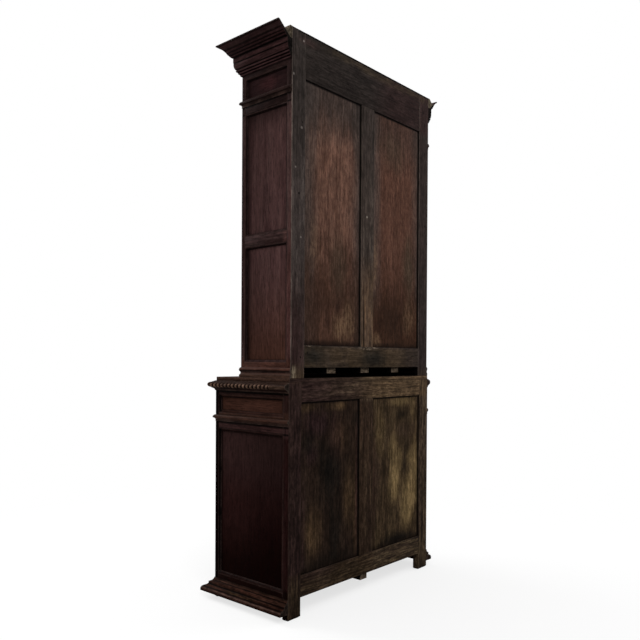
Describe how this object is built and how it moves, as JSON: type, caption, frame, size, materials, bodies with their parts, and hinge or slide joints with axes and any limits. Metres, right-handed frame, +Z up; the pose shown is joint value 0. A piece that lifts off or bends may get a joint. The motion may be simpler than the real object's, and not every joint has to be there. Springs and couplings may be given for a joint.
{
  "type": "bookcase",
  "caption": "Tall two-stage bookcase: a glazed upper case with adjustable shelves on a deeper cupboard base with drawers, panelled sides and back, mitred mouldings.",
  "frame": {"origin": "on the floor, under the middle of the overall box", "axes": "+X to the right seen from the front, the front faces -Y, +Z up"},
  "size_m": [1.167, 0.5, 2.403],
  "materials": {
    "show_wood": "dark stained and waxed oak",
    "back_wood": "raw, aged and dusty",
    "inner_wood": "plain, unpolished",
    "glass": "clear drawn glass",
    "iron": "dark forged iron"
  },
  "bodies": {
    "carcass": {"base_mouldings": "show_wood", "bed_mouldings": "show_wood", "bookshelves": "inner_wood", "crown_blocks": "inner_wood", "crown_mouldings": "show_wood", "drawer_divider": "show_wood", "drawer_runners": "inner_wood", "dust_board": "inner_wood", "floor_bearers": "inner_wood", "hinge_post_halves": "iron", "lower_astragals": "show_wood", "lower_back_muntin": "back_wood", "lower_back_panels": "back_wood", "lower_back_rails": "back_wood", "lower_floor": "inner_wood", "lower_front_posts": "show_wood", "lower_front_rails": "show_wood", "lower_rear_post_left": "show_wood", "lower_rear_post_right": "show_wood", "lower_shelf": "inner_wood", "lower_side_panels_left": "show_wood", "lower_side_panels_right": "show_wood", "lower_side_rails_left": "show_wood", "lower_side_rails_right": "show_wood", "lower_top_board": "show_wood", "plinth_mouldings": "show_wood", "shelf_cleats": "inner_wood", "shelf_racks": "inner_wood", "side_panel_beads": "show_wood", "upper_astragals": "show_wood", "upper_back_muntin": "back_wood", "upper_back_panels": "back_wood", "upper_back_rails": "back_wood", "upper_floor": "inner_wood", "upper_front_posts": "show_wood", "upper_front_rails": "show_wood", "upper_rear_post_left": "show_wood", "upper_rear_post_right": "show_wood", "upper_side_panels_left": "show_wood", "upper_side_panels_right": "show_wood", "upper_side_rails_left": "show_wood", "upper_side_rails_right": "show_wood", "waist_mouldings": "show_wood"},
    "upper_left_door": {"upper_door_frame_left": "show_wood", "upper_door_glass_left": "glass", "upper_door_fittings_left": "iron"},
    "upper_right_door": {"upper_door_frame_right": "show_wood", "upper_door_glass_right": "glass", "upper_door_fittings_right": "iron"},
    "lower_left_door": {"lower_door_frame_left": "show_wood", "lower_door_panel_left": "show_wood", "lower_door_fittings_left": "iron"},
    "lower_right_door": {"lower_door_frame_right": "show_wood", "lower_door_panel_right": "show_wood", "lower_door_fittings_right": "iron"},
    "left_drawer": {"drawer_front_left": "show_wood", "drawer_box_left": "inner_wood"},
    "right_drawer": {"drawer_front_right": "show_wood", "drawer_box_right": "inner_wood"}
  },
  "joints": [
    {"name": "upper_left_door_hinge", "type": "hinge", "parent": "carcass", "child": "upper_left_door", "pos_m": [-0.42125, -0.053, 1.577], "axis": [0, 0, -1], "range_deg": [0, 105]},
    {"name": "upper_right_door_hinge", "type": "hinge", "parent": "carcass", "child": "upper_right_door", "pos_m": [0.42125, -0.053, 1.577], "axis": [0, 0, 1], "range_deg": [0, 105]},
    {"name": "lower_left_door_hinge", "type": "hinge", "parent": "carcass", "child": "lower_left_door", "pos_m": [-0.43575, -0.209, 0.4325], "axis": [0, 0, -1], "range_deg": [0, 105]},
    {"name": "lower_right_door_hinge", "type": "hinge", "parent": "carcass", "child": "lower_right_door", "pos_m": [0.43575, -0.209, 0.4325], "axis": [0, 0, 1], "range_deg": [0, 105]},
    {"name": "left_drawer_slide", "type": "slide", "parent": "carcass", "child": "left_drawer", "axis": [0, -1, 0], "range_m": [0, 0.3]},
    {"name": "right_drawer_slide", "type": "slide", "parent": "carcass", "child": "right_drawer", "axis": [0, -1, 0], "range_m": [0, 0.3]}
  ]
}
